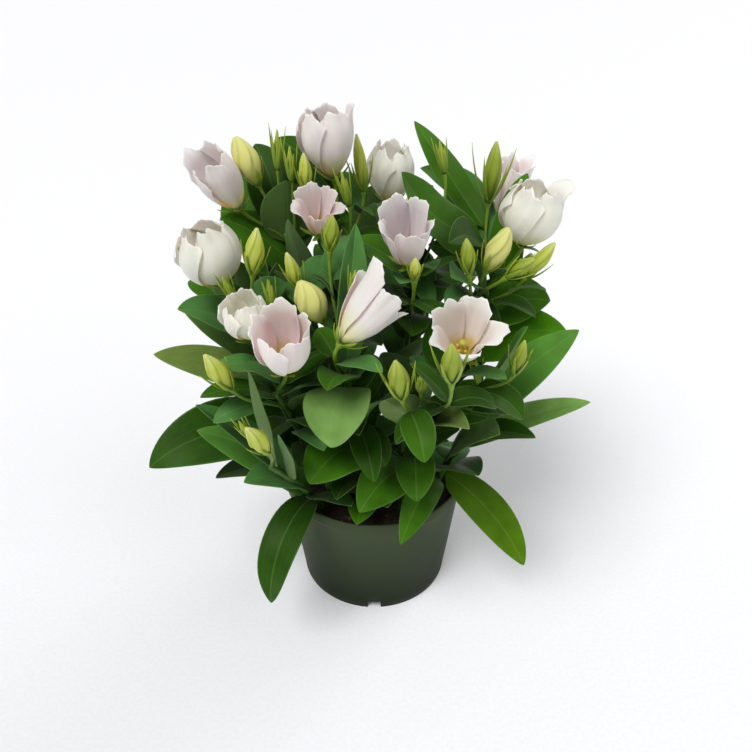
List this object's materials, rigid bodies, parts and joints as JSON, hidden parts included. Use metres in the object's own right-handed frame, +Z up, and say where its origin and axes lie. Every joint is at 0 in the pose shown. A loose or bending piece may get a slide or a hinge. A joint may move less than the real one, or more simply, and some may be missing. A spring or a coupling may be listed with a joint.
{
  "type": "potted lisianthus",
  "caption": "Potted lisianthus in flower: leafy branching stems with pale lilac and cream cup-shaped blooms and slender green buds, growing from peat in a round plastic nursery pot.",
  "frame": {"origin": "centre of the flat underside of the pot, on the surface that it stands on", "axes": "+Z up, -Y towards the side that the picture shows as the front, +X to that side's right"},
  "size_m": [0.3046, 0.2951, 0.3627],
  "materials": {
    "pot_plastic": "dark grey-green moulded plastic, satin",
    "peat": "loose dark brown peat, matt",
    "foliage": "living leaf and stem, blue-green with a thin wax bloom",
    "petal_lilac": "soft petal, pale lilac with paler edges",
    "petal_cream": "soft petal, cream white, greenish at the base",
    "bud_green": "closed bud, yellow-green folds",
    "bud_pale": "swollen bud, pale cream yellow",
    "pistil": "yellow-green stigma with ochre anthers"
  },
  "bodies": {
    "root": {"pot": "pot_plastic", "peat": "peat", "bloom_back": "petal_cream", "bloom_centre": "petal_lilac", "bloom_front": "petal_lilac", "bloom_front_left": "petal_lilac", "bloom_front_right": "petal_lilac", "bloom_left": "petal_cream", "bloom_left_back": "petal_lilac", "bloom_left_low": "petal_cream", "bloom_middle": "petal_lilac", "bloom_rear": "petal_cream", "bloom_rear_left": "petal_lilac", "bloom_rear_right": "petal_lilac", "bloom_right": "petal_cream", "bloom_right_back": "petal_lilac", "bloom_top": "petal_lilac", "bud_centre_front": "bud_green", "bud_front_low": "bud_green", "bud_front_mid": "bud_green", "bud_front_side": "bud_green", "bud_left_inner": "bud_green", "bud_left_mid": "bud_green", "bud_left_outer": "bud_green", "bud_left_tip": "bud_pale", "bud_low_left": "bud_green", "bud_middle_back": "bud_green", "bud_middle_front": "bud_green", "bud_middle_tip": "bud_green", "bud_rear_a": "bud_green", "bud_rear_b": "bud_green", "bud_rear_c": "bud_green", "bud_rear_d": "bud_green", "bud_rear_e": "bud_green", "bud_rear_f": "bud_green", "bud_right_inner": "bud_green", "bud_right_mid": "bud_green", "bud_right_outer": "bud_green", "bud_right_pale": "bud_pale", "bud_right_tip": "bud_green", "bud_swollen": "bud_pale", "pistil_centre": "pistil", "pistil_front_left": "pistil", "pistil_front_right": "pistil", "stem_back_left": "foliage", "stem_back_right": "foliage", "stem_centre": "foliage", "stem_centre_back": "foliage", "stem_centre_front": "foliage", "stem_left": "foliage", "stem_left_back": "foliage", "stem_left_front": "foliage", "stem_low_left": "foliage", "stem_low_right": "foliage", "stem_right": "foliage", "stem_right_front": "foliage"}
  },
  "joints": []
}
